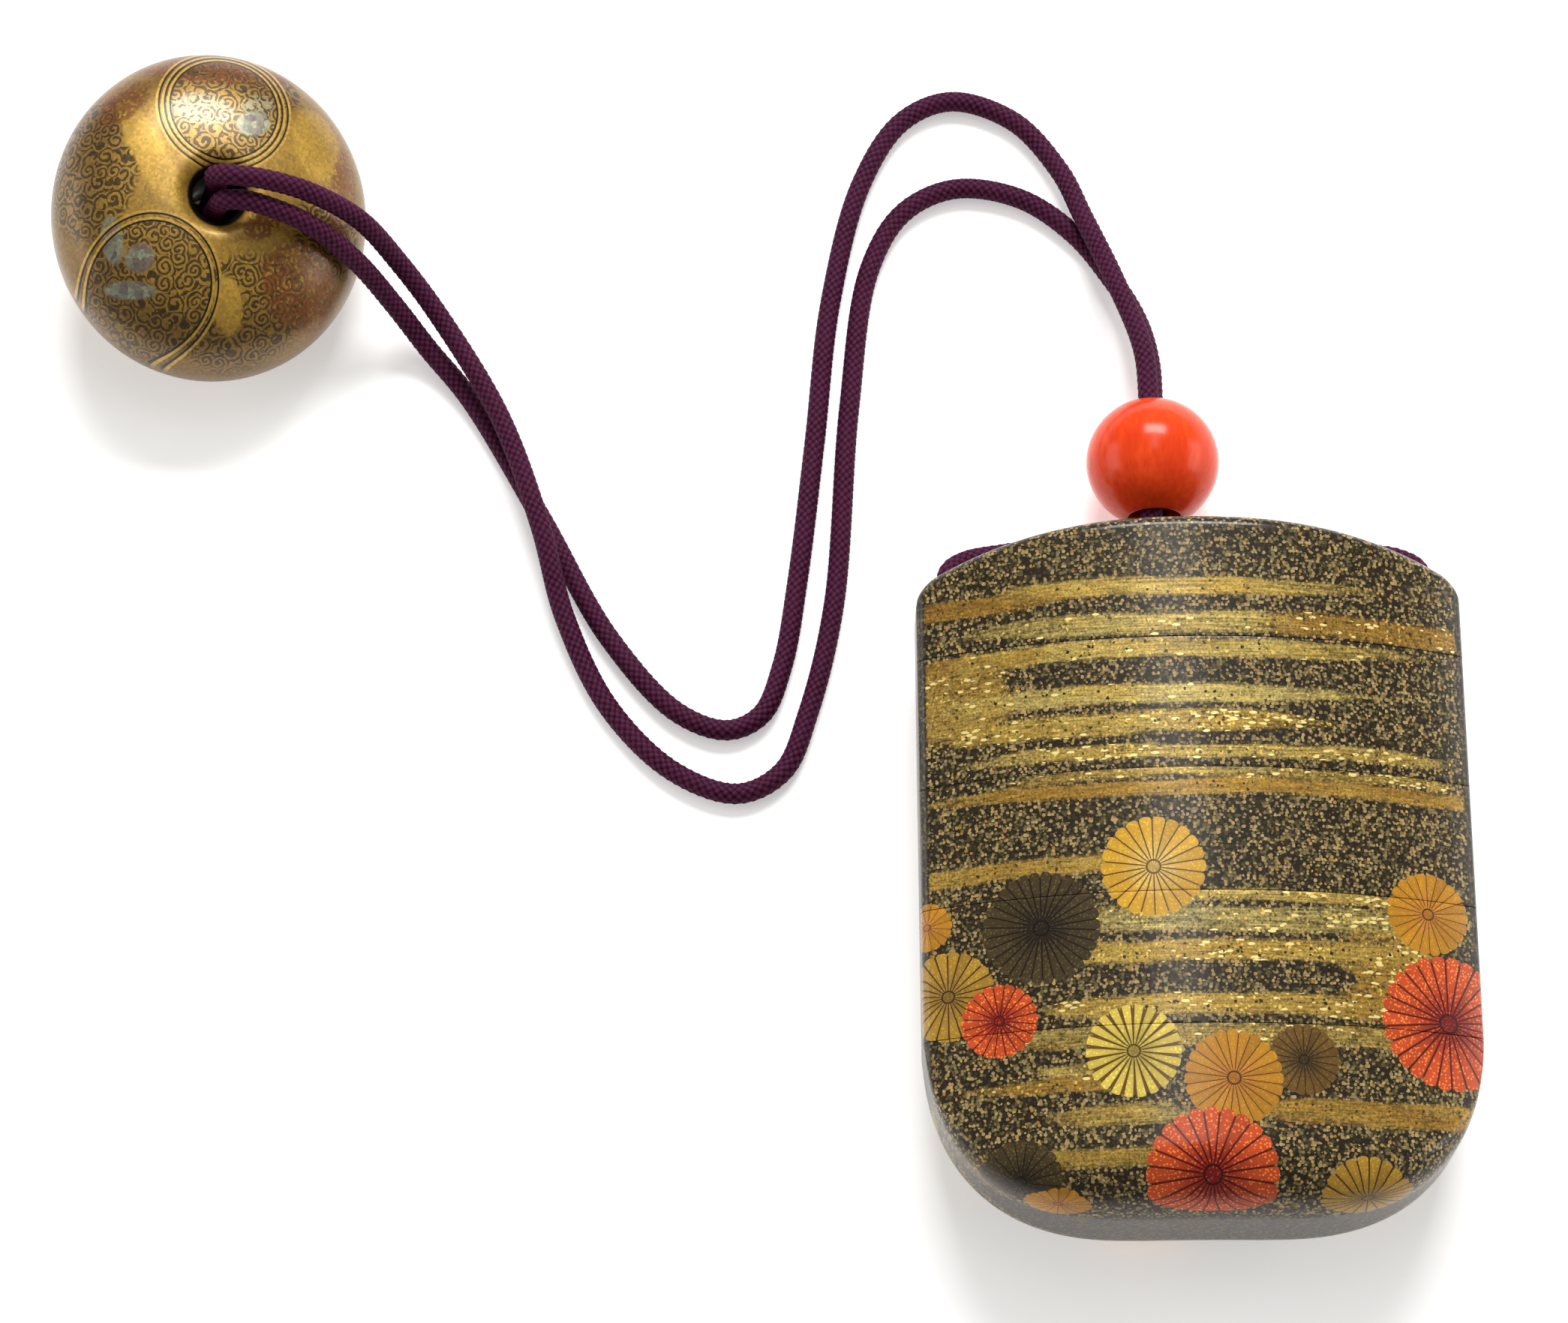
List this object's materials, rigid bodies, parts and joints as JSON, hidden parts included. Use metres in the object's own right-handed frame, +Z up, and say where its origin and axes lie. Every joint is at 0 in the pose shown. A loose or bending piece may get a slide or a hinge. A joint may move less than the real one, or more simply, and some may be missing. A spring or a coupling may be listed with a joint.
{
  "type": "inro case",
  "caption": "Lens-shaped nested lacquer case with a domed lid, laid on its back, with its silk cord, round bead and bun-shaped toggle.",
  "frame": {"origin": "under the middle of the case, on the surface that it lies on", "axes": "+X across the case, +Y along the case towards its lid, +Z up, out of the decorated front"},
  "size_m": [0.158, 0.1387, 0.0251],
  "materials": {
    "lacquer": "polished black lacquer with gold powder, haze bands and flower roundels",
    "coral": "polished orange-red coral",
    "gold_lacquer": "polished gold lacquer over wood",
    "silk": "round braided silk"
  },
  "bodies": {
    "root": {"base_case": "lacquer", "lower_case": "lacquer", "middle_case": "lacquer", "upper_case": "lacquer", "lid": "lacquer", "ojime_bead": "coral", "netsuke": "gold_lacquer", "cord_knot": "silk", "cord_left": "silk", "cord_right": "silk", "cord_held": "silk"}
  },
  "joints": []
}
